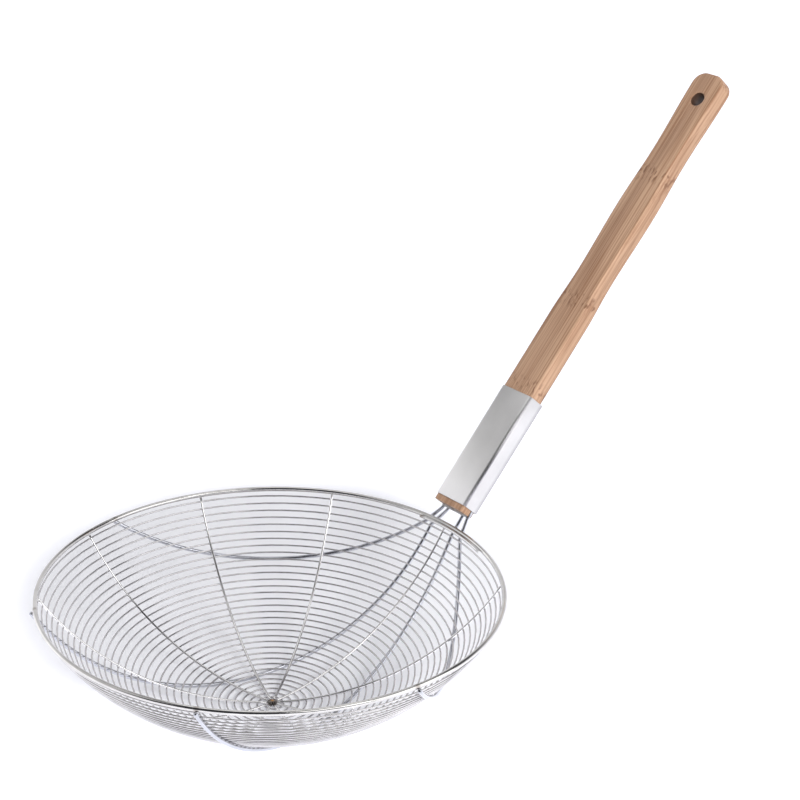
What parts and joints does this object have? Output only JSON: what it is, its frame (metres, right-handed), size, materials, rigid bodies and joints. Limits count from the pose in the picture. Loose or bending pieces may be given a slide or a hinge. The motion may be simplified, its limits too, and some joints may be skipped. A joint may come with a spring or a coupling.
{
  "type": "spider skimmer",
  "caption": "Wide spherical wire-mesh skimmer bowl on bent support wires, with a steel ferrule and a leaning bamboo handle with a hanging hole.",
  "frame": {"origin": "under the middle of the part's box, at its lowest point, which is on a support wire under the bowl", "axes": "+Z is the bowl's axis and points up out of its mouth, +X is the side that the handle leans to, +Y is across the handle"},
  "size_m": [0.5434, 0.3032, 0.3549],
  "materials": {
    "frame_wire": "bright polished round stainless wire",
    "mesh_wire": "bright drawn stainless mesh wire",
    "weld_bead": "heat-tinted weld bead",
    "tang_steel": "plain steel sheet",
    "ferrule_steel": "satin stainless sheet with soft corner lines",
    "bamboo": "smooth lacquered bamboo with fine lengthwise fibres and dark node flecks"
  },
  "bodies": {
    "root": {"rim": "frame_wire", "mesh_spiral": "mesh_wire", "hub_weld": "weld_bead", "rim_brace": "frame_wire", "tang_plate": "tang_steel", "ferrule": "ferrule_steel", "handle": "bamboo", "spoke_01": "frame_wire", "spoke_02": "frame_wire", "spoke_03": "frame_wire", "spoke_04": "frame_wire", "spoke_05": "frame_wire", "spoke_06": "frame_wire", "spoke_07": "frame_wire", "spoke_08": "frame_wire", "spoke_09": "frame_wire", "spoke_10": "frame_wire", "support_wire_1": "frame_wire", "support_wire_2": "frame_wire", "support_wire_3": "frame_wire", "support_wire_4": "frame_wire"}
  },
  "joints": []
}
